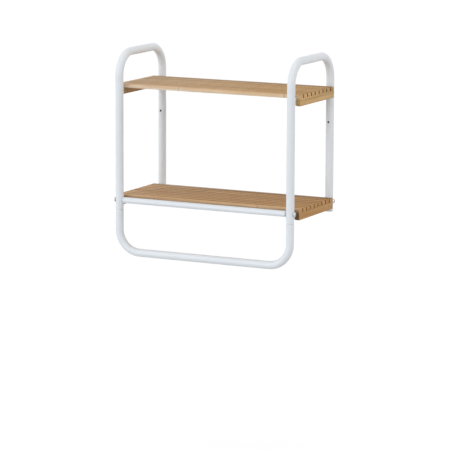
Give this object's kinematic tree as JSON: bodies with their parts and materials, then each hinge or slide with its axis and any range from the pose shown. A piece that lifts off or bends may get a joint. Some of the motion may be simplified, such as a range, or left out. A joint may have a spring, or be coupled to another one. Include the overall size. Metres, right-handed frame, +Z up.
{
  "type": "towel rack with shelf",
  "caption": "Wall-hung bathroom rack: bent white tube arches carry slatted bamboo shelves one above the other, with a crossbar and a U-shaped towel rail plugged in below.",
  "frame": {"origin": "on the wall plane, midway between the wall-screw holes of the rear legs", "axes": "+X to the right as seen from the room, +Y into the wall, +Z up"},
  "size_m": [0.45, 0.222, 0.462],
  "materials": {
    "white_powder_coat": "smooth semi-gloss white powder coat",
    "bamboo": "satin clear lacquer over strip bamboo",
    "white_plastic": "plain moulded plastic",
    "zinc_plated_steel": "bright zinc plating"
  },
  "bodies": {
    "root": {"left_side_frame": "white_powder_coat", "right_side_frame": "white_powder_coat", "towel_rail": "white_powder_coat", "front_crossbar": "white_powder_coat", "rear_crossbar": "white_powder_coat", "left_rear_leg_cap": "white_plastic", "right_rear_leg_cap": "white_plastic", "saddle_washer_front_left": "white_plastic", "saddle_washer_front_right": "white_plastic", "saddle_washer_rear_left": "white_plastic", "saddle_washer_rear_right": "white_plastic", "threaded_insert_front_left": "zinc_plated_steel", "threaded_insert_front_right": "zinc_plated_steel", "threaded_insert_rear_left": "zinc_plated_steel", "threaded_insert_rear_right": "zinc_plated_steel", "frame_bolt_front_left": "zinc_plated_steel", "frame_bolt_front_right": "zinc_plated_steel", "frame_bolt_rear_left": "zinc_plated_steel", "frame_bolt_rear_right": "zinc_plated_steel", "upper_slat_1": "bamboo", "upper_slat_2": "bamboo", "upper_slat_3": "bamboo", "upper_slat_4": "bamboo", "upper_slat_5": "bamboo", "upper_slat_6": "bamboo", "upper_slat_7": "bamboo", "upper_slat_8": "bamboo", "upper_slat_9": "bamboo", "upper_cleat_left": "bamboo", "upper_cleat_right": "bamboo", "upper_shelf_screw_front_left": "zinc_plated_steel", "upper_shelf_screw_front_right": "zinc_plated_steel", "upper_shelf_screw_rear_left": "zinc_plated_steel", "upper_shelf_screw_rear_right": "zinc_plated_steel", "lower_slat_1": "bamboo", "lower_slat_2": "bamboo", "lower_slat_3": "bamboo", "lower_slat_4": "bamboo", "lower_slat_5": "bamboo", "lower_slat_6": "bamboo", "lower_slat_7": "bamboo", "lower_slat_8": "bamboo", "lower_slat_9": "bamboo", "lower_cleat_left": "bamboo", "lower_cleat_right": "bamboo", "lower_shelf_screw_front_left": "zinc_plated_steel", "lower_shelf_screw_front_right": "zinc_plated_steel", "lower_shelf_screw_rear_left": "zinc_plated_steel", "lower_shelf_screw_rear_right": "zinc_plated_steel"}
  },
  "joints": []
}
